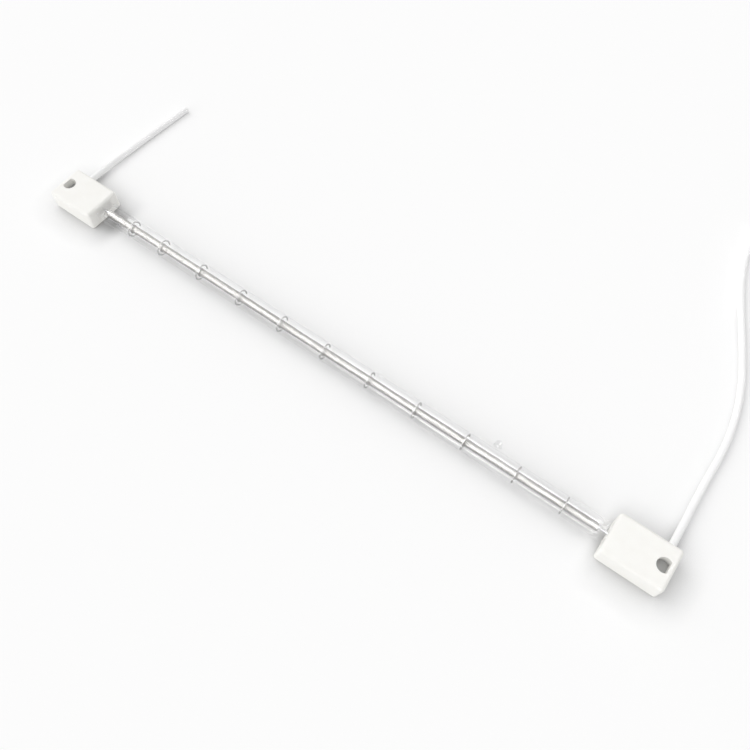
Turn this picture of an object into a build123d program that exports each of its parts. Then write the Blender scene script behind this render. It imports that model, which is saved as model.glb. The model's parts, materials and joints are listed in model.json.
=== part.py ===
from build123d import *
from math import cos, pi, radians, sin, tan
import os

# Clear quartz infrared heat lamp with a wound filament, ceramic caps and two insulated leads.
# It lies along X, with the caps' flat undersides on z = 0 and the leads out of the back, at +Y.
# Sizes are in millimetres.

# Ceramic caps
CAP_SPAN = 298.8            # between the two caps' inner faces
CAP_LENGTH = 28.8
CAP_WIDTH = 20.5
CAP_HEIGHT = 10.8
CAP_EDGE = 1.6              # rounding of the top and upright edges
CAP_FOOT = 0.5              # chamfer round the underside
SOCKET_RADIUS = 3.35        # D-shaped socket in the top
SOCKET_INSET = 4.6          # its centre, from the cap's outer end
SOCKET_FLAT = 2.15          # its flat, from its centre
SOCKET_WALL = 2.25          # ceramic between the socket and the cement pocket
POCKET_FLOOR = 1.6          # ceramic under the cement pocket
POCKET_GAP = 0.6            # cement round the pinch, at its sides and on top
CEMENT_RECESS = 0.1         # the cement stops this far inside the cap's inner face
CHANNEL = 2.6               # square way from the pocket to the lead

# Quartz tube
TUBE_OD = 12.0
TUBE_WALL = 1.5
FLOOR_GAP = 0.2             # under the tube, when the caps stand on a surface
SHOULDER_LENGTH = 5.3       # from the round tube to the flat pinch
PINCH_REVEAL = 0.6          # pinch seen outside the cap
PINCH_WIDTH = 10.0
PINCH_THICKNESS = 4.0
PINCH_EDGE = 0.8
BORE_END_WIDTH = 5.0        # the bore's last, flattened section
BORE_END_HEIGHT = 1.4
BORE_END_WALL = 1.0         # quartz between the bore's end and the pinch
SHOULDER_STEPS = 4
TIP_PLACE = 91.8            # exhaust tip, from the middle of the tube
TIP_ANGLE = 30.0            # its tilt up from the back, degrees
TIP_HEIGHT = 3.0            # above the tube
TIP_BASE = 7.2
TIP_NECK = 3.0
TIP_DOME = 1.1

# Filament and its supports
COIL_OD = 3.9
COIL_WIRE = 0.5
COIL_END_GAP = 4.2          # from the coil's end to the cap
SUPPORT_WIRE = 0.6
SUPPORT_CLEARANCE = 0.2     # outer loop to the glass
SUPPORT_COUNT = 11
FIRST_INSET = 18.3          # first support, from the coil's left end
LAST_INSET = 16.4           # last support, from the coil's right end
FIRST_PITCH = 21.1          # first support to the second
LAST_PITCH = 23.7           # last support but one to the last
LOOP_SWEEP = 316.0          # outer loop, degrees
LOOP_STEPS = 14
TURN_STEPS = 3
HOOK_SWEEP = 250.0          # inner hook round the coil, degrees
HOOK_STEPS = 8
BEND_PLACE = -67.0          # where the wire turns inwards, degrees from the back

# Current path through each end
LEAD_IN_OD = 0.8
SPUD_LENGTH = 4.0           # the lead-in's thick end, inside the coil
SPUD_CLEARANCE = 0.05
FOIL_WIDTH = 4.0
FOIL_THICKNESS = 0.1
FOIL_MARGIN = 1.6           # quartz before and after the foil
WELD_LAP = 1.8              # wire and pin over the foil
FERRULE_FLATS = 2.4
FERRULE_LENGTH = 5.5
FERRULE_GAP = 1.0           # from the pinch to the ferrule
CORE_OD = 1.4
CORE_BEND = 1.2             # corner cut where the bare wire turns to the lead
CORE_DROP = 2.6             # along X, from the ferrule to the pocket's end

# Leads
LEAD_OD = 3.4
LEAD_FACE_COUNT = 12        # flat faces that stand for its round section
LEAD_CLEARANCE = 0.1        # in the cap's bore, each side
LEAD_INSET = 4.3            # lead axis, from the cap's outer end
LEAD_HEIGHT = 2.8           # lead axis, above the cap's underside
LEAD_ROOF = 1.5             # ceramic between the lead's bore and the socket
LEAD_GRIP = 7.25            # lead inside the cap
LEAD_LIFT = 0.05            # under the leads, clear of the surface

# Worked out from the sizes above
axis_height = TUBE_OD / 2 + FLOOR_GAP
bore_radius = TUBE_OD / 2 - TUBE_WALL
cap_inner = CAP_SPAN / 2
cap_outer = cap_inner + CAP_LENGTH
cap_back = CAP_WIDTH / 2
socket_x = cap_outer - SOCKET_INSET
lead_x = cap_outer - LEAD_INSET
lead_rest = LEAD_OD / 2 + LEAD_LIFT
lead_bore = LEAD_OD + 2 * LEAD_CLEARANCE
lead_end = cap_back - LEAD_GRIP
pocket_end = socket_x - SOCKET_RADIUS - SOCKET_WALL
ferrule_end = pocket_end - CORE_DROP
ferrule_start = ferrule_end - FERRULE_LENGTH
ferrule_middle = (ferrule_start + ferrule_end) / 2
pinch_end = ferrule_start - FERRULE_GAP
pinch_start = cap_inner - PINCH_REVEAL
tube_end = pinch_start - SHOULDER_LENGTH
coil_end = cap_inner - COIL_END_GAP
foil_start = pinch_start + FOIL_MARGIN
foil_end = pinch_end - FOIL_MARGIN
foil_top = axis_height - LEAD_IN_OD / 2

# Routes of the leads, chosen to lie as the lamp's leads lie, from inside the cap to the free end
RIGHT_ROUTE = [
    (lead_x, lead_end, LEAD_HEIGHT),
    (lead_x, 20.0, LEAD_HEIGHT),
    (173.4, 45.0, lead_rest),
    (174.0, 70.0, lead_rest),
    (169.4, 96.5, lead_rest),
    (159.8, 120.0, lead_rest),
    (147.2, 147.0, lead_rest),
    (138.4, 171.5, lead_rest),
    (136.4, 195.0, lead_rest),
]
LEFT_ROUTE = [
    (-lead_x, lead_end, LEAD_HEIGHT),
    (-lead_x, 20.0, LEAD_HEIGHT),
    (-172.9, 42.0, lead_rest),
    (-171.2, 64.0, lead_rest),
    (-169.1, 84.0, lead_rest),
]


def across(x):
    """Plane across the lamp at x, on the tube's axis, with Y and Z as its own directions."""
    return Plane(origin=(x, 0, axis_height), x_dir=(0, 1, 0), z_dir=(1, 0, 0))


def bar(start, length, diameter):
    """Round bar from a plane's origin, along its normal."""
    return start * Cylinder(diameter / 2, length, align=(Align.CENTER, Align.CENTER, Align.MIN))


def rod(x_from, x_to, diameter):
    """Round bar on the tube's axis."""
    return bar(across(x_from), x_to - x_from, diameter)


def flattened(x_from, length, radius, width, height):
    """Loft from a circle to a flat ellipse, as glass is pressed towards a pinch."""
    sections = []
    for step in range(SHOULDER_STEPS + 1):
        share = step / SHOULDER_STEPS
        blend = (1 - cos(pi * share)) / 2
        half_width = radius + (width / 2 - radius) * blend
        half_height = radius + (height / 2 - radius) * blend
        sections.append(across(x_from + share * length) * Ellipse(half_width, half_height))
    return loft(sections, ruled=True)


def exhaust_tip():
    """Sealed stub of the filling tube: a flared foot, a short neck and a round end."""
    radius = TUBE_OD / 2
    tilt = radians(TIP_ANGLE)
    origin = (TIP_PLACE, 0, axis_height)
    outward = (0, cos(tilt), sin(tilt))
    plane = Plane(origin=origin, x_dir=(1, 0, 0), z_dir=(0, -sin(tilt), cos(tilt)))
    foot = (TIP_BASE / 2, (radius ** 2 - (TIP_BASE / 2) ** 2) ** 0.5)
    neck = (TIP_NECK / 2, radius + TIP_HEIGHT - TIP_DOME)
    top = (0, radius + TIP_HEIGHT)
    outline = [
        Line((0, 0), (foot[0], 0)),
        Line((foot[0], 0), foot),
        Bezier(foot, (neck[0], radius), neck),
        Bezier(neck, (neck[0], top[1]), top),
        Line(top, (0, 0)),
    ]
    return revolve(plane * make_face(outline), axis=Axis(origin, outward))


def half_current_path():
    """Lead-in, foil and pin of the right end, as they sit in the pinch."""
    spud = rod(coil_end - SPUD_LENGTH, coil_end, COIL_OD - 2 * COIL_WIRE - 2 * SPUD_CLEARANCE)
    lead_in = spud + rod(coil_end, foil_start + WELD_LAP, LEAD_IN_OD)
    foil_middle = ((foil_start + foil_end) / 2, 0, foil_top - FOIL_THICKNESS / 2)
    foil = Pos(*foil_middle) * Box(foil_end - foil_start, FOIL_WIDTH, FOIL_THICKNESS)
    pin = rod(foil_end - WELD_LAP, ferrule_middle, LEAD_IN_OD)
    return lead_in, foil, pin


def mirrored(shape):
    return mirror(shape, about=Plane.YZ)


def pressed_pinch():
    """Flat of the right pinch, with its long edges rounded."""
    middle = ((pinch_start + pinch_end) / 2, 0, axis_height)
    flat = Pos(*middle) * Box(pinch_end - pinch_start, PINCH_WIDTH, PINCH_THICKNESS)
    return fillet(flat.edges().filter_by(Axis.X), PINCH_EDGE)


def quartz_tube(pinch, embedded):
    """Round tube with a pressed shoulder and a flat pinch at each end, and the exhaust tip."""
    glass = rod(-tube_end, tube_end, TUBE_OD) + exhaust_tip()
    end = flattened(tube_end, SHOULDER_LENGTH, TUBE_OD / 2, PINCH_WIDTH, PINCH_THICKNESS) + pinch
    bore = rod(-tube_end, tube_end, 2 * bore_radius)
    bore_length = SHOULDER_LENGTH - BORE_END_WALL
    bore_close = flattened(tube_end, bore_length, bore_radius, BORE_END_WIDTH, BORE_END_HEIGHT)
    glass = glass + end + mirrored(end)
    glass = glass - bore - bore_close - mirrored(bore_close)
    for piece in embedded:
        glass = glass - piece - mirrored(piece)
    return glass


def filament_coil():
    """Outer form of the close-wound coil: a thin sleeve, one wire thick."""
    sleeve = rod(-coil_end, coil_end, COIL_OD)
    return sleeve - rod(-coil_end, coil_end, COIL_OD - 2 * COIL_WIRE)


def support_places():
    """The end supports sit closer to their neighbours than the even pitch between."""
    first = -coil_end + FIRST_INSET
    last = coil_end - LAST_INSET
    second = first + FIRST_PITCH
    last_but_one = last - LAST_PITCH
    inner = SUPPORT_COUNT - 2
    pitch = (last_but_one - second) / (inner - 1)
    return [first] + [second + pitch * place for place in range(inner)] + [last]


def arc_points(centre, radius, start, sweep_angle, steps):
    """Points along an arc, the first one included."""
    angles = [radians(start + sweep_angle * step / steps) for step in range(steps + 1)]
    return [(centre[0] + radius * cos(angle), centre[1] + radius * sin(angle)) for angle in angles]


def wire_along(path, diameter):
    """Wire of eight flats, mitred at each point of its path."""
    eight_flats = RegularPolygon(diameter / 2, 8, major_radius=False, rotation=22.5)
    section = Plane(origin=path @ 0, z_dir=path % 0) * eight_flats
    return sweep(section, path=path, transition=Transition.RIGHT)


def support_ring(x):
    """One bent wire: a loop near the glass, a turn inwards and a hook round the coil."""
    hook_step = radians(HOOK_SWEEP / HOOK_STEPS)
    loop_radius = bore_radius - SUPPORT_CLEARANCE - SUPPORT_WIRE / 2
    hook_radius = (COIL_OD / 2 + SUPPORT_WIRE / 2) / cos(hook_step / 2)
    turn_radius = (loop_radius - hook_radius) / 2
    turn_middle = hook_radius + turn_radius
    bend = radians(BEND_PLACE)
    turn_centre = (turn_middle * cos(bend), turn_middle * sin(bend))
    loop = arc_points((0, 0), loop_radius, BEND_PLACE - LOOP_SWEEP, LOOP_SWEEP, LOOP_STEPS)
    turn = arc_points(turn_centre, turn_radius, BEND_PLACE, 180, TURN_STEPS)
    hook = arc_points((0, 0), hook_radius, BEND_PLACE, -HOOK_SWEEP, HOOK_STEPS)
    path = across(x) * Polyline(*loop, *turn[1:], *hook[1:])
    return wire_along(path, SUPPORT_WIRE)


def pocket(x_from, x_to):
    """Room round the pinch, open at the cap's inner face."""
    top = axis_height + PINCH_THICKNESS / 2 + POCKET_GAP
    middle = ((x_from + x_to) / 2, 0, (POCKET_FLOOR + top) / 2)
    return Pos(*middle) * Box(x_to - x_from, PINCH_WIDTH + 2 * POCKET_GAP, top - POCKET_FLOOR)


def channel():
    """Square way for the bare wire, from the pocket to the lead's bore."""
    start = pocket_end - CHANNEL
    along_middle = ((start + lead_x + CHANNEL / 2) / 2, 0, LEAD_HEIGHT)
    along = Pos(*along_middle) * Box(lead_x + CHANNEL / 2 - start, CHANNEL, CHANNEL)
    turned = Pos(lead_x, lead_end / 2, LEAD_HEIGHT) * Box(CHANNEL, lead_end, CHANNEL)
    return along + turned


def ceramic_cap():
    """Right-hand cap: a rounded block, its D-socket, its pocket and the lead's bore."""
    block = Pos(cap_inner + CAP_LENGTH / 2, 0, CAP_HEIGHT / 2) * Box(CAP_LENGTH, CAP_WIDTH, CAP_HEIGHT)
    block = fillet(block.edges() - block.faces().sort_by(Axis.Z)[0].edges(), CAP_EDGE)
    block = chamfer(block.faces().sort_by(Axis.Z)[0].edges(), CAP_FOOT)
    socket_floor = LEAD_HEIGHT + lead_bore / 2 + LEAD_ROOF
    flat_side = Pos(SOCKET_FLAT + SOCKET_RADIUS, 0) * Rectangle(2 * SOCKET_RADIUS, 2 * SOCKET_RADIUS)
    outline = Pos(socket_x, 0, socket_floor) * (Circle(SOCKET_RADIUS) - flat_side)
    socket = extrude(outline, CAP_HEIGHT - socket_floor)
    way_out = Plane(origin=(lead_x, lead_end, LEAD_HEIGHT), z_dir=(0, 1, 0))
    bore = bar(way_out, LEAD_GRIP, lead_bore)
    return block - socket - (pocket(cap_inner, pocket_end) + channel()) - bore


def crimp_ferrule(pin, core):
    """Sleeve of six flats, crimped tight on the pin and on the bare wire."""
    six_flats = RegularPolygon(FERRULE_FLATS / 2, 6, major_radius=False)
    return extrude(across(ferrule_start) * six_flats, FERRULE_LENGTH) - pin - core


def lead_core():
    """Stripped end of the lead: out of the ferrule, down, and round the corner to the lead."""
    path = Polyline(
        (ferrule_middle, 0, axis_height),
        (ferrule_end + CORE_DROP / 3, 0, axis_height),
        (pocket_end - CORE_DROP / 4, 0, LEAD_HEIGHT),
        (lead_x - CORE_BEND, 0, LEAD_HEIGHT),
        (lead_x, CORE_BEND, LEAD_HEIGHT),
        (lead_x, lead_end, LEAD_HEIGHT),
    )
    return wire_along(path, CORE_OD)


def cement(pinch):
    """Plug that holds the pinch in the cap, all but flush with the cap's inner face."""
    return pocket(cap_inner + CEMENT_RECESS, pinch_end) - pinch


def lead_wire(name, route):
    """Insulated lead along its route, with each bend as wide as its two runs allow."""
    points = [Vector(*point) for point in route]
    radii = []
    for before, here, after in zip(points, points[1:], points[2:]):
        arriving = here - before
        leaving = after - here
        half_turn = radians(arriving.get_angle(leaving)) / 2
        shorter = min(arriving.length, leaving.length)
        radii.append(0.45 * shorter / tan(half_turn))
    path = FilletPolyline(*points, radius=radii)
    section = Plane(origin=path @ 0, z_dir=path % 0) * RegularPolygon(LEAD_OD / 2, LEAD_FACE_COUNT)
    lead = sweep(section, path=path)
    expected = section.area * path.length
    print(name, "bend radii", [round(radius, 1) for radius in radii])
    print(name, "length", round(path.length, 2), "volume ratio", round(lead.volume / expected, 5))
    return lead


def build():
    lead_in, foil, pin = half_current_path()
    pinch = pressed_pinch()
    core = lead_core()
    right_end = {
        "lead_in_wire": lead_in,
        "seal_foil": foil,
        "outer_pin": pin,
        "crimp_ferrule": crimp_ferrule(pin, core),
        "lead_core": core,
        "cement": cement(pinch),
        "ceramic_cap": ceramic_cap(),
    }
    nodes = {
        "quartz_tube": quartz_tube(pinch, [lead_in, foil, pin]),
        "filament_coil": filament_coil(),
    }
    for number, x in enumerate(support_places(), start=1):
        nodes[f"support_ring_{number:02d}"] = support_ring(x)
    for name, shape in right_end.items():
        nodes[f"{name}_right"] = shape
        nodes[f"{name}_left"] = mirrored(shape)
    for name, route in (("lead_wire_right", RIGHT_ROUTE), ("lead_wire_left", LEFT_ROUTE)):
        nodes[name] = lead_wire(name, route)
    return nodes


os.makedirs("parts", exist_ok=True)
for node, shape in build().items():
    export_step(shape, f"parts/{node}.step")
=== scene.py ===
import json
import math

import bpy
from mathutils import Matrix, Vector


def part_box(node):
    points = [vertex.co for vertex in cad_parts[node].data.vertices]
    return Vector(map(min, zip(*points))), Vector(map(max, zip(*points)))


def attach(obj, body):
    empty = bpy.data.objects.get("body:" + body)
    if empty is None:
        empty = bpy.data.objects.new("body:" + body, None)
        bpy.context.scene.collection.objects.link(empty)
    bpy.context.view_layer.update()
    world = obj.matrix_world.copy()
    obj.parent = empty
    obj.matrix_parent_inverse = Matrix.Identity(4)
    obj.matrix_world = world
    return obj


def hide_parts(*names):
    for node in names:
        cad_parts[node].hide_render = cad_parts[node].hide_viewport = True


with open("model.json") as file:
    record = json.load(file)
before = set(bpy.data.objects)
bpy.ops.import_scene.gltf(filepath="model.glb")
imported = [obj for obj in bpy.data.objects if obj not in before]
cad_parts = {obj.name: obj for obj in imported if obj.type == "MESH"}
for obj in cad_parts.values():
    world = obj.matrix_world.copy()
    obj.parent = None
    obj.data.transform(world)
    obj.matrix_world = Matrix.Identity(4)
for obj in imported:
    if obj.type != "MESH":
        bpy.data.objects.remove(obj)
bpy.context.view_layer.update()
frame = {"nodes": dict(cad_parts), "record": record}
nodes = frame["nodes"]

# Sizes that the frame's boxes don't give, in metres and radians.

# Glass: the wall, the shoulder, the pinch and the bore's closed end.
GLASS_WALL = 0.0015
SHOULDER_LENGTH = 0.0053
PINCH_REVEAL = 0.0006
PINCH_WIDTH = 0.010
PINCH_THICKNESS = 0.004
PINCH_SQUARENESS = 5
BEDDED_DEPTH = 0.00015
BEDDED_GAP = 0.00003
BORE_END_WIDTH = 0.005
BORE_END_HEIGHT = 0.0014
BORE_END_WALL = 0.001

# Exhaust tip: its place and tilt, its form, how it blends into the tube, and the reach round it.
TIP_PLACE = 0.0918
TIP_TILT = math.radians(30)
TIP_HEIGHT = 0.003
TIP_BASE = 0.0072
TIP_NECK = 0.003
TIP_DOME = 0.0011
TIP_BLEND = 0.0002
TIP_NEAR = 0.002
TIP_RIM = 0.0001
TIP_MARGIN = 0.0042
TIP_SPAN = 0.7

# Coil and supports.
COIL_WIRE = 0.0005
COIL_PITCH = 0.000665
SUPPORT_WIRE = 0.0006
LOOP_SWEEP = math.radians(316)
HOOK_SWEEP = math.radians(250)
BEND_PLACE = math.radians(-67)

# The leads' insulation and strands.
LEAD_DIAMETER = 0.0034
BRAID_PITCH = 0.0012
BRAID_THREADS = 6
STRAND_DIAMETER = 0.0004
STRANDS = 7

# Sockets in the caps' tops; inside them the ceramic's colour is darkened with painted shade.
SOCKET_RADIUS = 0.00335
SOCKET_FLOOR = 0.0061
SOCKET_MOUTH = 0.0003
SOCKET_MARGIN = 0.0001

# How finely the round pieces are divided: steps along them in metres, turns round them in radians, counts.
TUBE_STEP = 0.004
BORE_STEP = 0.02
SHOULDER_STEP = 0.00035
TIP_STEP = 0.00012
TUBE_TURN = math.radians(3.75)
TIP_TURN = math.radians(1.5)
BEDDED_TURN = math.radians(7.5)
LOOP_TURN = 0.1
BEND_TURN = 0.25
HOOK_TURN = 0.14
PINCH_STEPS = 6
COIL_STEPS_PER_TURN = 12
COIL_SIDES = 8
SUPPORT_SIDES = 10
STRAND_SIDES = 12

# Leads, from inside each cap to the free end.
RIGHT_LENGTH = 0.1984
LEFT_LENGTH = 0.0812
LEAD_X = 0.1739
LEAD_START = 0.003
LEAD_HEIGHT = 0.0028
LEAD_REST = 0.00175
RIGHT_ROUTE = [
    (LEAD_X, LEAD_START, LEAD_HEIGHT),
    (LEAD_X, 0.0200, LEAD_HEIGHT),
    (0.1734, 0.0450, LEAD_REST),
    (0.1740, 0.0700, LEAD_REST),
    (0.1694, 0.0965, LEAD_REST),
    (0.1598, 0.1200, LEAD_REST),
    (0.1472, 0.1470, LEAD_REST),
    (0.1384, 0.1715, LEAD_REST),
    (0.1364, 0.1950, LEAD_REST),
]
LEFT_ROUTE = [
    (-LEAD_X, LEAD_START, LEAD_HEIGHT),
    (-LEAD_X, 0.0200, LEAD_HEIGHT),
    (-0.1729, 0.0420, LEAD_REST),
    (-0.1712, 0.0640, LEAD_REST),
    (-0.1691, 0.0840, LEAD_REST),
]

# The photograph's view.
VIEW_FROM = Vector((0.12411, -0.12461, 0.31008))
VIEW_AZIMUTH = math.radians(37.275)
VIEW_ELEVATION = math.radians(62.033)
VIEW_ROLL = math.radians(-1.319)
VIEW_LENS = 35.37

# Light: even light at the horizon, its gain towards the zenith, and soft lights as (from, glow, focus).
EVEN_LIGHT = 0.435
ZENITH_GAIN = 0.39
SOFT_LIGHTS = [
    (Vector((-0.72, 0.12, 0.68)), 2.0, 12),
    (Vector((-0.20, -0.92, 0.34)), 1.0, 6),
]

# The floor's half size and white, and the painted shade close to the caps: how far that reaches, how dark
# it gets and where it fades towards the back. Each cap's painted shade is (side, where it starts and is
# full, inward from the cap's inner end, share left along the lead).
FLOOR_REACH = 3.0
FLOOR_WHITE = 0.99
SHADE_REACH = 0.016
SHADE_DEPTH = 0.28
SHADE_FADE = (0.014, 0.03)
CAP_SHADES = [(1, (0.006, -0.003), 0.3), (-1, (0.016, 0.006), 0.0)]

# What shiny surfaces mirror, by angles up from the back. The metal inside the glass mirrors a panel, which
# dims and shifts to the back from left to right. The open glass mirrors lines that brighten from left to
# right, as (angle, half width, glow, share at the left).
PANEL_BACK = math.radians(68)
PANEL_FRONT = math.radians(178)
PANEL_SOFT = math.radians(5)
PANEL_GLOW = 6.2
PANEL_SURROUND = 0.35
BRIGHT_LINES = [
    (math.radians(72), math.radians(5), 20.0, 0.0),
    (math.radians(165), math.radians(6), 17.0, 0.4),
]
OPEN_GLOW = 0.6
LINES_FADE = (-0.5, -0.1)
PANEL_FADE = (-0.35, 0.1)
PANEL_FALL = 0.8
PANEL_BACK_SHIFT = math.radians(84)
PANEL_FRONT_SHIFT = math.radians(18)

# Quartz: what walls and tip let through to the eye, what each surface lets through to the floor, and how
# far the walls, the solid tip and the gloss bend light.
GLASS_CLEAR = 0.995
TIP_CLEAR = 0.9
GLASS_SHADE = 0.935
WALL_BEND = 1.01
TIP_BEND = 1.08
GLOSS_BEND = 1.5

coil_low, coil_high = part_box("filament_coil")
glass_low, glass_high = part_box("quartz_tube")
cap_low, cap_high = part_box("ceramic_cap_right")
AXIS_HEIGHT = (coil_low.z + coil_high.z) / 2
TUBE_RADIUS = (glass_high.z - glass_low.z) / 2
BORE_RADIUS = TUBE_RADIUS - GLASS_WALL
PINCH_END = glass_high.x
PINCH_START = cap_low.x - PINCH_REVEAL
TUBE_END = PINCH_START - SHOULDER_LENGTH
BEDDED_FROM = cap_low.x + BEDDED_DEPTH
SOCKET_X = next(m["pos_m"][0] for m in frame["record"]["mounts"] if m["name"] == "right_cap_socket")
RINGS = sorted(name for name in nodes if name.startswith("support_ring"))


# Materials

def new_material(name):
    """A material, its nodes, its links and its main shader."""
    material = bpy.data.materials.new(name)
    material.use_nodes = True
    tree = material.node_tree
    return material, tree.nodes, tree.links, tree.nodes["Principled BSDF"]


def noise(tree_nodes, scale, detail=4.0, roughness=0.5):
    """Cloudy noise, scale in lumps to the metre."""
    texture = tree_nodes.new("ShaderNodeTexNoise")
    texture.inputs["Scale"].default_value = scale
    texture.inputs["Detail"].default_value = detail
    texture.inputs["Roughness"].default_value = roughness
    return texture


def object_points(tree_nodes):
    """Places on the object, in metres."""
    return tree_nodes.new("ShaderNodeTexCoord").outputs["Object"]


def ramp(tree_nodes, low, high, dark, light):
    """Colour ramp from dark at low to light at high."""
    node = tree_nodes.new("ShaderNodeValToRGB")
    node.color_ramp.elements[0].position = low
    node.color_ramp.elements[0].color = (*dark, 1)
    node.color_ramp.elements[1].position = high
    node.color_ramp.elements[1].color = (*light, 1)
    return node


def bump(tree_nodes, links, height, strength, distance, shader, socket="Normal"):
    """Fine relief on a shader, from a height between 0 and 1."""
    node = tree_nodes.new("ShaderNodeBump")
    node.inputs["Strength"].default_value = strength
    node.inputs["Distance"].default_value = distance
    links.new(height, node.inputs["Height"])
    links.new(node.outputs["Normal"], shader.inputs[socket])


def math_node(tree_nodes, links, operation, *values):
    """One sum on sockets or plain numbers."""
    node = tree_nodes.new("ShaderNodeMath")
    node.operation = operation
    for place, value in enumerate(values):
        if isinstance(value, (int, float)):
            node.inputs[place].default_value = value
        else:
            links.new(value, node.inputs[place])
    return node.outputs[0]


def mixed_value(tree_nodes, links, share, low, high):
    """A number between low and high by share; low and high are sockets or plain numbers."""
    node = tree_nodes.new("ShaderNodeMix")
    links.new(share, node.inputs["Factor"])
    for name, value in (("A", low), ("B", high)):
        if isinstance(value, (int, float)):
            node.inputs[name].default_value = value
        else:
            links.new(value, node.inputs[name])
    return node.outputs["Result"]


def step_at(tree_nodes, links, value, start, end):
    """Rises smoothly from 0 at start to 1 at end."""
    node = tree_nodes.new("ShaderNodeMapRange")
    node.interpolation_type = "SMOOTHSTEP"
    node.inputs["From Min"].default_value = start
    node.inputs["From Max"].default_value = end
    links.new(value, node.inputs["Value"])
    return node.outputs["Result"]


def painted_socket_shade(tree_nodes, links, points):
    """Share of painted shade in the sockets: 0 outside them and at their mouths, rising to 1 at their
    floors.
    """
    place = tree_nodes.new("ShaderNodeSeparateXYZ")
    links.new(points, place.inputs[0])
    x, y, z = place.outputs
    along = math_node(tree_nodes, links, "SUBTRACT", math_node(tree_nodes, links, "ABSOLUTE", x), SOCKET_X)
    square = math_node(tree_nodes, links, "MULTIPLY", y, y)
    square = math_node(tree_nodes, links, "MULTIPLY_ADD", along, along, square)
    within = math_node(tree_nodes, links, "LESS_THAN", square, (SOCKET_RADIUS + SOCKET_MARGIN) ** 2)
    above = math_node(tree_nodes, links, "GREATER_THAN", z, SOCKET_FLOOR - SOCKET_MARGIN)
    depth = tree_nodes.new("ShaderNodeMapRange")
    depth.inputs["From Min"].default_value = cap_high.z - SOCKET_MOUTH
    depth.inputs["From Max"].default_value = SOCKET_FLOOR
    links.new(z, depth.inputs["Value"])
    within = math_node(tree_nodes, links, "MULTIPLY", within, above)
    deep = math_node(tree_nodes, links, "POWER", depth.outputs["Result"], 3.0)
    return math_node(tree_nodes, links, "MULTIPLY", within, deep)


def ceramic_material():
    """White satin steatite: a faint warm mottle, a fine pressed grain, and painted shade that greys the
    sockets towards their floors.
    """
    material, tree_nodes, links, shader = new_material("ceramic")
    points = object_points(tree_nodes)
    mottle = noise(tree_nodes, scale=220, detail=3)
    links.new(points, mottle.inputs["Vector"])
    tint = ramp(tree_nodes, 0.3, 0.75, (0.94, 0.93, 0.895), (0.96, 0.952, 0.922))
    links.new(mottle.outputs["Fac"], tint.inputs["Fac"])
    # Painted shade: a grey mixed into the colour deeper in the sockets, where shade falls.
    painted_shade = tree_nodes.new("ShaderNodeMix")
    painted_shade.data_type = "RGBA"
    painted_shade.inputs["B"].default_value = (0.5, 0.5, 0.495, 1)
    links.new(painted_socket_shade(tree_nodes, links, points), painted_shade.inputs["Factor"])
    links.new(tint.outputs["Color"], painted_shade.inputs["A"])
    links.new(painted_shade.outputs["Result"], shader.inputs["Base Color"])
    grain = noise(tree_nodes, scale=2600, detail=6, roughness=0.6)
    links.new(points, grain.inputs["Vector"])
    bump(tree_nodes, links, grain.outputs["Fac"], 0.12, 0.00012, shader)
    shader.inputs["Roughness"].default_value = 0.42
    shader.inputs["Specular IOR Level"].default_value = 0.25
    return material


def cement_material():
    """Matt setting cement, off-white and gritty."""
    material, tree_nodes, links, shader = new_material("cement")
    points = object_points(tree_nodes)
    grit = noise(tree_nodes, scale=1500, detail=8, roughness=0.7)
    links.new(points, grit.inputs["Vector"])
    tint = ramp(tree_nodes, 0.25, 0.8, (0.955, 0.94, 0.905), (0.98, 0.97, 0.945))
    links.new(grit.outputs["Fac"], tint.inputs["Fac"])
    links.new(tint.outputs["Color"], shader.inputs["Base Color"])
    bump(tree_nodes, links, grit.outputs["Fac"], 0.15, 0.0001, shader)
    shader.inputs["Roughness"].default_value = 0.9
    return material


def glass_material(name, gloss, clear, bend):
    """Clear quartz with fine drawing lines in its gloss; the floor's light passes it with a soft shade."""
    material, tree_nodes, links, shader = new_material(name)
    shader.inputs["Base Color"].default_value = (clear, clear, clear, 1)
    shader.inputs["Transmission Weight"].default_value = 1
    shader.inputs["Roughness"].default_value = 0
    shader.inputs["IOR"].default_value = bend
    shader.inputs["Coat Weight"].default_value = gloss
    shader.inputs["Coat Roughness"].default_value = 0.02
    shader.inputs["Coat IOR"].default_value = GLOSS_BEND
    stretched = tree_nodes.new("ShaderNodeMapping")
    stretched.inputs["Scale"].default_value = (12, 500, 500)
    links.new(object_points(tree_nodes), stretched.inputs["Vector"])
    lines = noise(tree_nodes, scale=1, detail=2)
    links.new(stretched.outputs["Vector"], lines.inputs["Vector"])
    bump(tree_nodes, links, lines.outputs["Fac"], 0.06, 0.0001, shader, "Coat Normal")
    passing = tree_nodes.new("ShaderNodeBsdfTransparent")
    passing.inputs["Color"].default_value = (GLASS_SHADE, GLASS_SHADE, GLASS_SHADE, 1)
    path = tree_nodes.new("ShaderNodeLightPath")
    surface = shader.outputs["BSDF"]
    for kind in ("Is Shadow Ray", "Is Diffuse Ray"):
        either = tree_nodes.new("ShaderNodeMixShader")
        links.new(path.outputs[kind], either.inputs[0])
        links.new(surface, either.inputs[1])
        links.new(passing.outputs[0], either.inputs[2])
        surface = either.outputs[0]
    links.new(surface, tree_nodes["Material Output"].inputs["Surface"])
    return material


def bedded_material():
    """Quartz bedded in cement: frosted, and as pale as the cement behind it."""
    material, tree_nodes, links, shader = new_material("bedded_quartz")
    cloud = noise(tree_nodes, scale=900, detail=5, roughness=0.6)
    links.new(object_points(tree_nodes), cloud.inputs["Vector"])
    tint = ramp(tree_nodes, 0.3, 0.7, (0.955, 0.94, 0.905), (0.975, 0.965, 0.94))
    links.new(cloud.outputs["Fac"], tint.inputs["Fac"])
    links.new(tint.outputs["Color"], shader.inputs["Base Color"])
    shader.inputs["Roughness"].default_value = 0.5
    return material


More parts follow.
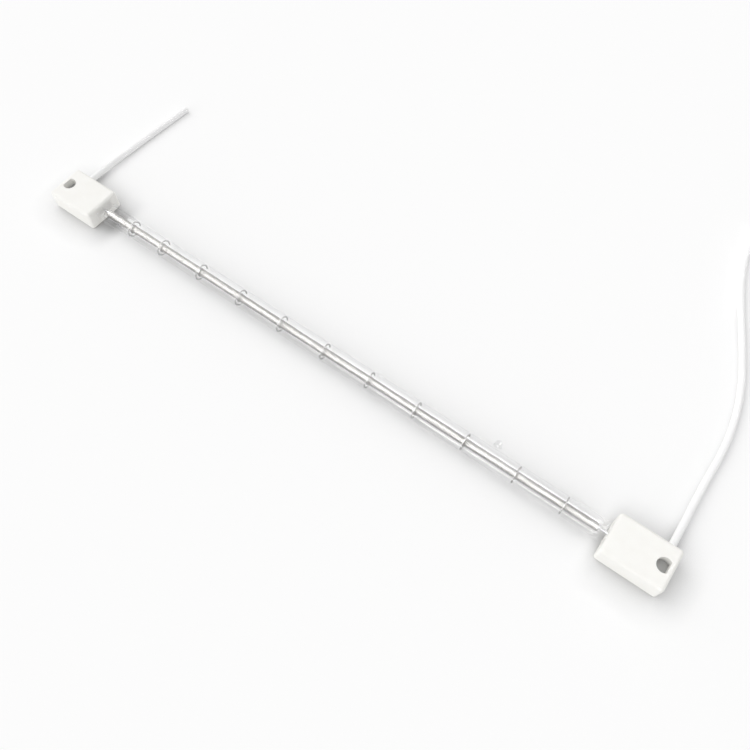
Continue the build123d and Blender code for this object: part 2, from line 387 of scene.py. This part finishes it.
def wire_material(name, dark, light, roughness):
    """Drawn metal wire: slight changes of tone along it and fine drawing marks."""
    material, tree_nodes, links, shader = new_material(name)
    points = object_points(tree_nodes)
    tone = noise(tree_nodes, scale=700)
    links.new(points, tone.inputs["Vector"])
    tint = ramp(tree_nodes, 0.3, 0.7, dark, light)
    links.new(tone.outputs["Fac"], tint.inputs["Fac"])
    links.new(tint.outputs["Color"], shader.inputs["Base Color"])
    marks = noise(tree_nodes, scale=9000, detail=2)
    links.new(points, marks.inputs["Vector"])
    bump(tree_nodes, links, marks.outputs["Fac"], 0.05, 0.00003, shader)
    shader.inputs["Metallic"].default_value = 1
    shader.inputs["Roughness"].default_value = roughness
    return material


def lead_material(length):
    """White fibre insulation: a fine braid whose threads cross as they wind along the lead."""
    material, tree_nodes, links, shader = new_material("lead_insulation")
    soil = noise(tree_nodes, scale=90, detail=3)
    links.new(object_points(tree_nodes), soil.inputs["Vector"])
    tint = ramp(tree_nodes, 0.3, 0.7, (0.955, 0.955, 0.955), (0.98, 0.98, 0.978))
    links.new(soil.outputs["Fac"], tint.inputs["Fac"])
    links.new(tint.outputs["Color"], shader.inputs["Base Color"])
    place = tree_nodes.new("ShaderNodeSeparateXYZ")
    links.new(tree_nodes.new("ShaderNodeTexCoord").outputs["UV"], place.inputs[0])
    along = math_node(tree_nodes, links, "MULTIPLY", place.outputs["X"], 2 * math.pi * length / BRAID_PITCH)
    around = math_node(tree_nodes, links, "MULTIPLY", place.outputs["Y"], 2 * math.pi * BRAID_THREADS)
    threads = []
    for operation in ("ADD", "SUBTRACT"):
        wound = math_node(tree_nodes, links, operation, along, around)
        threads.append(math_node(tree_nodes, links, "SINE", wound))
    crossed = math_node(tree_nodes, links, "MULTIPLY", *threads)
    bump(tree_nodes, links, crossed, 0.12, 0.00008, shader)
    shader.inputs["Roughness"].default_value = 0.6
    return material


def seen_directly(tree_nodes, links):
    """1 for what the camera sees, straight or by mirror or glass, and 0 for light bounced on."""
    path = tree_nodes.new("ShaderNodeLightPath")
    total = path.outputs["Is Camera Ray"]
    for kind in ("Is Glossy Ray", "Is Transmission Ray"):
        total = math_node(tree_nodes, links, "MAXIMUM", total, path.outputs[kind])
    return total


def floor_material():
    """Plain matt white paper, with painted shade close to the caps that fades along the leads."""
    material, tree_nodes, links, shader = new_material("floor")
    openness = tree_nodes.new("ShaderNodeAmbientOcclusion")
    openness.samples = 8
    openness.inputs["Distance"].default_value = SHADE_REACH
    place = tree_nodes.new("ShaderNodeSeparateXYZ")
    links.new(object_points(tree_nodes), place.inputs[0])
    faded = step_at(tree_nodes, links, place.outputs["Y"], *SHADE_FADE)
    share = 0.0
    for side, starts, left_by_lead in CAP_SHADES:
        outward = math_node(tree_nodes, links, "MULTIPLY", place.outputs["X"], side)
        near = step_at(tree_nodes, links, outward, *(cap_low.x - start for start in starts))
        kept = math_node(tree_nodes, links, "MULTIPLY_ADD", faded, left_by_lead - 1, 1.0)
        near = math_node(tree_nodes, links, "MULTIPLY", near, kept)
        share = math_node(tree_nodes, links, "MAXIMUM", near, share)
    # Painted shade: the colour darkens where ambient occlusion finds the floor enclosed near the caps, and
    # only for what the camera sees.
    tone = mixed_value(tree_nodes, links, openness.outputs["AO"], SHADE_DEPTH, FLOOR_WHITE)
    tone = mixed_value(tree_nodes, links, share, FLOOR_WHITE, tone)
    tone = mixed_value(tree_nodes, links, seen_directly(tree_nodes, links), FLOOR_WHITE, tone)
    links.new(tone, shader.inputs["Base Color"])
    shader.inputs["Roughness"].default_value = 0.8
    shader.inputs["Specular IOR Level"].default_value = 0
    return material


# Building blocks

def mesh_piece(name, points, faces, material, smooth=True):
    """A mesh as a piece of the lamp."""
    mesh = bpy.data.meshes.new(name)
    mesh.from_pydata(points, [], faces)
    mesh.update()
    if smooth:
        mesh.polygons.foreach_set("use_smooth", [True] * len(mesh.polygons))
    piece = bpy.data.objects.new(name, mesh)
    bpy.context.scene.collection.objects.link(piece)
    piece.data.materials.append(material)
    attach(piece, "root")
    return piece


def skin(rows, inward=False):
    """Faces between rows of as many points each, with a fan at each end."""
    count = len(rows[0])
    points = [point for row in rows for point in row]
    faces = []
    for row in range(len(rows) - 1):
        for here in range(count):
            after = (here + 1) % count
            low, high = row * count, (row + 1) * count
            faces.append((low + here, low + after, high + after, high + here))
    faces.append(tuple(reversed(range(count))))
    faces.append(tuple(range((len(rows) - 1) * count, len(rows) * count)))
    if inward:
        faces = [tuple(reversed(face)) for face in faces]
    return points, faces


def round_wire(line, diameter, sides, up):
    """Rows of points round a line; up gives each point's own outward direction."""
    rows = []
    last = len(line) - 1
    for place, point in enumerate(line):
        along = (line[min(place + 1, last)] - line[max(place - 1, 0)]).normalized()
        out = up[place] - along * up[place].dot(along)
        out.normalize()
        side = along.cross(out)
        row = []
        for corner in range(sides):
            turn = 2 * math.pi * corner / sides
            row.append(point + (out * math.cos(turn) + side * math.sin(turn)) * diameter / 2)
        rows.append(row)
    return rows


# Pieces

def section_sizes(x, radius, width, height, length):
    """Half sizes of a pressed end's section, x from where the round tube ends."""
    share = min(max(x / length, 0), 1)
    blend = (1 - math.cos(math.pi * share)) / 2
    return radius + (width / 2 - radius) * blend, radius + (height / 2 - radius) * blend


def section(x, half_width, half_height, power, angles):
    """Closed outline across the tube at x: an ellipse at power 2, squarer above."""
    row = []
    for angle in angles:
        across, up = math.cos(angle), math.sin(angle)
        y = half_width * math.copysign(abs(across) ** (2 / power), across)
        z = half_height * math.copysign(abs(up) ** (2 / power), up)
        row.append(Vector((x, y, AXIS_HEIGHT + z)))
    return row


def tip_height(distance):
    """Height of the exhaust tip over the tube's axis: a flared foot, a neck and a round end."""
    neck = TIP_NECK / 2
    foot = TIP_BASE / 2
    foot_height = math.sqrt(TUBE_RADIUS ** 2 - foot ** 2)
    neck_height = TUBE_RADIUS + TIP_HEIGHT - TIP_DOME
    if distance < neck:
        return neck_height + TIP_DOME * math.sqrt(1 - (distance / neck) ** 2)
    if distance > foot:
        return 0
    share = math.sqrt((distance - neck) / (foot - neck))
    rest = 1 - share
    return foot_height * share ** 2 + 2 * TUBE_RADIUS * share * rest + neck_height * rest ** 2


def raise_tip(row):
    """Lifts a row's points to the exhaust tip's surface where it stands above the tube."""
    outward = Vector((0, math.cos(TIP_TILT), math.sin(TIP_TILT)))
    origin = Vector((TIP_PLACE, 0, AXIS_HEIGHT))
    lifted = []
    for point in row:
        offset = point - origin
        height = offset.dot(outward)
        distance = (offset - outward * height).length
        rise = tip_height(distance) - height if height > 0 else 0
        lift = (rise + math.sqrt(rise ** 2 + TIP_BLEND ** 2)) / 2
        lifted.append(point + outward * lift if rise > -TIP_NEAR else point)
    return lifted


def spread(start, end, step):
    """Even places from start to end, no further apart than step."""
    count = max(1, math.ceil((end - start) / step))
    return [start + (end - start) * place / count for place in range(count + 1)]


def pressed_row(x, angles):
    """Outline of the glass at x: round along the tube, pressed flat towards its ends."""
    sizes = section_sizes(abs(x) - TUBE_END, TUBE_RADIUS, PINCH_WIDTH, PINCH_THICKNESS, SHOULDER_LENGTH)
    square = min(max((abs(x) - PINCH_START) / PINCH_REVEAL, 0), 1)
    return section(x, *sizes, 2 + PINCH_SQUARENESS * square, angles)


def mirrored_places(half, middle):
    """Places along the whole tube: half is the right end's, repeated at the left."""
    return [-x for x in reversed(half)] + middle + half


def tube_angles():
    """Angles round the tube, closer together by the exhaust tip."""
    whole = spread(0, 2 * math.pi, TUBE_TURN)[:-1]
    near_tip = spread(TIP_TILT - TIP_SPAN, TIP_TILT + TIP_SPAN, TIP_TURN)
    angles = [angle for angle in whole if abs(angle - TIP_TILT) > TIP_SPAN] + near_tip
    return sorted(angle % (2 * math.pi) for angle in angles)


def outer_rows(angles):
    """Outlines of the glass from pinch to pinch, with the exhaust tip."""
    tip_from, tip_to = TIP_PLACE - TIP_MARGIN, TIP_PLACE + TIP_MARGIN
    half = spread(TUBE_END, PINCH_START, SHOULDER_STEP)[1:]
    half += [PINCH_START + PINCH_REVEAL * step / PINCH_STEPS for step in range(1, PINCH_STEPS + 1)]
    half.append(BEDDED_FROM - BEDDED_GAP)
    middle = spread(-TUBE_END, tip_from, TUBE_STEP) + spread(tip_from, tip_to, TIP_STEP)[1:]
    middle += spread(tip_to, TUBE_END, TUBE_STEP)[1:]
    rows = []
    for x in mirrored_places(half, middle):
        row = pressed_row(x, angles)
        rows.append(raise_tip(row) if tip_from <= x <= tip_to else row)
    return rows


def bore_rows(angles):
    """Outlines of the bore, which flattens and closes within the shoulders."""
    length = SHOULDER_LENGTH - BORE_END_WALL
    half = spread(TUBE_END, TUBE_END + length, SHOULDER_STEP)[1:]
    rows = []
    for x in mirrored_places(half, spread(-TUBE_END, TUBE_END, BORE_STEP)):
        sizes = section_sizes(abs(x) - TUBE_END, BORE_RADIUS, BORE_END_WIDTH, BORE_END_HEIGHT, length)
        rows.append(section(x, *sizes, 2, angles))
    return rows


def glass_piece():
    """The clear tube at full smoothness, up to the caps: outer skin, closed bore and solid tip."""
    angles = tube_angles()
    points, faces = skin(outer_rows(angles))
    bore_points, bore_faces = skin(bore_rows(angles), inward=True)
    start = len(points)
    outer_count = len(faces)
    points += bore_points
    faces += [tuple(start + corner for corner in face) for face in bore_faces]
    wall = glass_material("quartz_glass", 1, GLASS_CLEAR, WALL_BEND)
    piece = mesh_piece("quartz_tube_glass", points, faces, wall)
    piece.data.materials.append(glass_material("quartz_bore", 0, GLASS_CLEAR, WALL_BEND))
    piece.data.materials.append(glass_material("quartz_tip", 1, TIP_CLEAR, TIP_BEND))
    for face in piece.data.polygons[outer_count:]:
        face.material_index = 1
    for face in piece.data.polygons[:outer_count]:
        if math.hypot(face.center.y, face.center.z - AXIS_HEIGHT) > TUBE_RADIUS + TIP_RIM:
            face.material_index = 2
    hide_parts("quartz_tube")


def bedded_pieces():
    """The pinches' ends inside the caps, bedded in cement."""
    material = bedded_material()
    angles = spread(0, 2 * math.pi, BEDDED_TURN)[:-1]
    for side, ends in (("right", (BEDDED_FROM, PINCH_END)), ("left", (-PINCH_END, -BEDDED_FROM))):
        points, faces = skin([pressed_row(x, angles) for x in ends])
        piece = mesh_piece("quartz_pinch_" + side, points, faces, material, smooth=False)
        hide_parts("quartz_tube")


def filament_piece():
    """The close-wound coil, turn by turn."""
    radius = (coil_high.y - coil_low.y) / 2 - COIL_WIRE / 2
    length = coil_high.x - coil_low.x - COIL_WIRE
    turns = length / COIL_PITCH
    steps = round(turns * COIL_STEPS_PER_TURN)
    line = []
    out = []
    for step in range(steps + 1):
        turn = 2 * math.pi * turns * step / steps
        direction = Vector((0, math.cos(turn), math.sin(turn)))
        x = coil_low.x + COIL_WIRE / 2 + length * step / steps
        line.append(Vector((x, 0, AXIS_HEIGHT)) + direction * radius)
        out.append(direction)
    points, faces = skin(round_wire(line, COIL_WIRE, COIL_SIDES, out))
    metal = wire_material("tungsten_wire", (0.50, 0.49, 0.48), (0.60, 0.59, 0.575), 0.22)
    piece = mesh_piece("filament_turns", points, faces, metal)
    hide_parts("filament_coil")


def arc(centre, radius, start, sweep, step):
    """Points of an arc as (y, z), the first one left out."""
    count = math.ceil(abs(sweep) / step)
    angles = [start + sweep * place / count for place in range(1, count + 1)]
    return [(centre[0] + radius * math.cos(a), centre[1] + radius * math.sin(a)) for a in angles]


def support_pieces():
    """Each support as one smooth bent wire: the loop, the turn inwards and the hook."""
    metal = wire_material("support_wire", (0.42, 0.415, 0.41), (0.52, 0.515, 0.505), 0.22)
    for name in RINGS:
        low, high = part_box(name)
        x = (low.x + high.x) / 2
        loop_radius = (high.z - low.z) / 2 - SUPPORT_WIRE / 2
        hook_radius = (coil_high.y - coil_low.y) / 2 + SUPPORT_WIRE / 2
        turn_radius = (loop_radius - hook_radius) / 2
        reach = hook_radius + turn_radius
        centre = (reach * math.cos(BEND_PLACE), reach * math.sin(BEND_PLACE))
        outline = arc((0, 0), loop_radius, BEND_PLACE - LOOP_SWEEP, LOOP_SWEEP, LOOP_TURN)
        outline += arc(centre, turn_radius, BEND_PLACE, math.pi, BEND_TURN)
        outline += arc((0, 0), hook_radius, BEND_PLACE, -HOOK_SWEEP, HOOK_TURN)
        line = [Vector((x, y, AXIS_HEIGHT + z)) for y, z in outline]
        along_tube = [Vector((1, 0, 0))] * len(line)
        points, faces = skin(round_wire(line, SUPPORT_WIRE, SUPPORT_SIDES, along_tube))
        piece = mesh_piece(name + "_wire", points, faces, metal)
        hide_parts(name)


def lead_piece(name, route, material):
    """An insulated lead on one smooth line, cut square at its free end."""
    curve = bpy.data.curves.new(name + "_line", "CURVE")
    curve.dimensions = "3D"
    spline = curve.splines.new("NURBS")
    spline.points.add(len(route) - 1)
    for control, point in zip(spline.points, route):
        control.co = (*point, 1)
    spline.order_u = 3
    spline.use_endpoint_u = True
    spline.resolution_u = 24
    curve.bevel_depth = LEAD_DIAMETER / 2
    curve.bevel_resolution = 6
    curve.use_fill_caps = True
    curve.materials.append(material)
    lead = bpy.data.objects.new(name + "_cord", curve)
    bpy.context.scene.collection.objects.link(lead)
    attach(lead, "root")
    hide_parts(name)
    return lead


def strand_piece(name, route, material):
    """The conductor's strands, one in the middle of a ring, all but level with the lead's free end."""
    end = Vector(route[-1])
    along = (end - Vector(route[-2])).normalized()
    side = along.cross(Vector((0, 0, 1)))
    points = []
    faces = []
    for strand in range(STRANDS):
        turn = 2 * math.pi * strand / (STRANDS - 1)
        out = side * math.cos(turn) + along.cross(side) * math.sin(turn)
        middle = end + out * STRAND_DIAMETER * (strand < STRANDS - 1)
        line = [middle - along * STRAND_DIAMETER, middle + along * STRAND_DIAMETER / 10]
        new_points, new_faces = skin(round_wire(line, STRAND_DIAMETER, STRAND_SIDES, [side] * 2))
        faces += [tuple(len(points) + corner for corner in face) for face in new_faces]
        points += new_points
    piece = mesh_piece(name + "_strands", points, faces, material, smooth=False)
    return piece


def dress_nodes():
    """Materials of the solids that stay as they are."""
    ceramic = ceramic_material()
    cement = cement_material()
    inner_metal = wire_material("molybdenum", (0.5, 0.5, 0.51), (0.62, 0.62, 0.63), 0.3)
    plated = wire_material("plated_metal", (0.6, 0.59, 0.56), (0.74, 0.73, 0.7), 0.35)
    looks = {
        "ceramic_cap": ceramic,
        "cement": cement,
        "lead_in_wire": inner_metal,
        "seal_foil": inner_metal,
        "outer_pin": inner_metal,
        "crimp_ferrule": plated,
        "lead_core": plated,
    }
    for name, node in nodes.items():
        kind = name.rsplit("_", 1)[0]
        if kind in looks:
            node.data.materials.clear()
            node.data.materials.append(looks[kind])


def set_camera():
    """The photograph's view."""
    back = Vector((
        math.sin(VIEW_AZIMUTH) * math.cos(VIEW_ELEVATION),
        -math.cos(VIEW_AZIMUTH) * math.cos(VIEW_ELEVATION),
        math.sin(VIEW_ELEVATION),
    ))
    level = Vector((0, 0, 1)).cross(back).normalized()
    rise = back.cross(level)
    right = level * math.cos(VIEW_ROLL) + rise * math.sin(VIEW_ROLL)
    up = back.cross(right)
    data = bpy.data.cameras.new("camera")
    data.sensor_width = 36
    data.lens = VIEW_LENS
    data.clip_start = 0.01
    camera = bpy.data.objects.new("camera", data)
    camera.matrix_world = Matrix.Translation(VIEW_FROM) @ Matrix((right, up, back)).transposed().to_4x4()
    bpy.context.scene.collection.objects.link(camera)
    bpy.context.scene.camera = camera


def soft_light(tree_nodes, links, direction, toward, glow, focus):
    """A round glow in the sky, brightest at its middle."""
    facing = tree_nodes.new("ShaderNodeVectorMath")
    facing.operation = "DOT_PRODUCT"
    facing.inputs[1].default_value = toward.normalized()
    links.new(direction, facing.inputs[0])
    share = math_node(tree_nodes, links, "MAXIMUM", facing.outputs["Value"], 0.0)
    share = math_node(tree_nodes, links, "POWER", share, focus)
    return math_node(tree_nodes, links, "MULTIPLY", share, glow)


def band(tree_nodes, links, value, low, high, soft):
    """1 between low and high, with soft edges."""
    past_low = step_at(tree_nodes, links, value, low - soft, low + soft)
    past_high = step_at(tree_nodes, links, value, high - soft, high + soft)
    return math_node(tree_nodes, links, "SUBTRACT", past_low, past_high)


def mirrored_light(tree_nodes, links, path, x, y, z):
    """What mirrors show: bright lines on the open glass, and a panel on the metal inside it."""
    rise = math_node(tree_nodes, links, "ARCTAN2", z, y)
    rightward = step_at(tree_nodes, links, x, *PANEL_FADE)
    in_lines = step_at(tree_nodes, links, x, *LINES_FADE)
    edges = []
    for edge, shift in ((PANEL_BACK, PANEL_BACK_SHIFT), (PANEL_FRONT, PANEL_FRONT_SHIFT)):
        shifted = math_node(tree_nodes, links, "MULTIPLY_ADD", rightward, shift, rise)
        edges.append(step_at(tree_nodes, links, shifted, edge - PANEL_SOFT, edge + PANEL_SOFT))
    panel = math_node(tree_nodes, links, "SUBTRACT", *edges)
    dimmed = math_node(tree_nodes, links, "MULTIPLY_ADD", rightward, -PANEL_FALL, 1.0)
    panel = math_node(tree_nodes, links, "MULTIPLY", panel, dimmed)
    panel_gain = PANEL_GLOW - PANEL_SURROUND
    inside = math_node(tree_nodes, links, "MULTIPLY_ADD", panel, panel_gain, PANEL_SURROUND)
    outside = OPEN_GLOW
    for middle, half_width, gain, left_share in BRIGHT_LINES:
        soft = half_width / 2
        line = band(tree_nodes, links, rise, middle - soft, middle + soft, soft)
        kept = math_node(tree_nodes, links, "MULTIPLY_ADD", in_lines, 1 - left_share, left_share)
        line = math_node(tree_nodes, links, "MULTIPLY", line, kept)
        outside = math_node(tree_nodes, links, "MULTIPLY_ADD", line, gain, outside)
    return mixed_value(tree_nodes, links, path.outputs["Is Reflection Ray"], inside, outside)


def set_world():
    """Soft light from all round, with its own light for mirrors and white for the camera."""
    world = bpy.data.worlds.new("studio")
    bpy.context.scene.world = world
    world.use_nodes = True
    tree_nodes, links = world.node_tree.nodes, world.node_tree.links
    direction = tree_nodes.new("ShaderNodeTexCoord").outputs["Generated"]
    place = tree_nodes.new("ShaderNodeSeparateXYZ")
    links.new(direction, place.inputs[0])
    x, y, z = place.outputs
    light = math_node(tree_nodes, links, "MULTIPLY_ADD", z, ZENITH_GAIN, EVEN_LIGHT)
    for toward, glow, focus in SOFT_LIGHTS:
        lobe = soft_light(tree_nodes, links, direction, toward, glow, focus)
        light = math_node(tree_nodes, links, "ADD", light, lobe)
    path = tree_nodes.new("ShaderNodeLightPath")
    unscattered = math_node(tree_nodes, links, "LESS_THAN", path.outputs["Diffuse Depth"], 0.5)
    mirrored = math_node(tree_nodes, links, "MULTIPLY", path.outputs["Is Glossy Ray"], unscattered)
    seen = mirrored_light(tree_nodes, links, path, x, y, z)
    background = tree_nodes["Background"]
    background.inputs["Color"].default_value = (1, 1, 1, 1)
    strength = mixed_value(tree_nodes, links, mirrored, light, seen)
    strength = mixed_value(tree_nodes, links, path.outputs["Is Camera Ray"], strength, 1.0)
    links.new(strength, background.inputs["Strength"])


def set_stage():
    """White floor and the light."""
    far = FLOOR_REACH
    corners = [(-far, -far, 0), (far, -far, 0), (far, far, 0), (-far, far, 0)]
    mesh = bpy.data.meshes.new("floor")
    mesh.from_pydata(corners, [], [(0, 1, 2, 3)])
    floor = bpy.data.objects.new("floor", mesh)
    floor.data.materials.append(floor_material())
    bpy.context.scene.collection.objects.link(floor)
    set_world()


bpy.context.scene.view_settings.view_transform = "Standard"
set_camera()
set_stage()
dress_nodes()
glass_piece()
bedded_pieces()
filament_piece()
support_pieces()
bare_wire = wire_material("bare_strands", (0.62, 0.6, 0.57), (0.76, 0.74, 0.7), 0.3)
for node_name, lead_route, lead_length in (
    ("lead_wire_right", RIGHT_ROUTE, RIGHT_LENGTH),
    ("lead_wire_left", LEFT_ROUTE, LEFT_LENGTH),
):
    cord = lead_piece(node_name, lead_route, lead_material(lead_length))
    strands = strand_piece(node_name, lead_route, bare_wire)

bpy.context.view_layer.update()
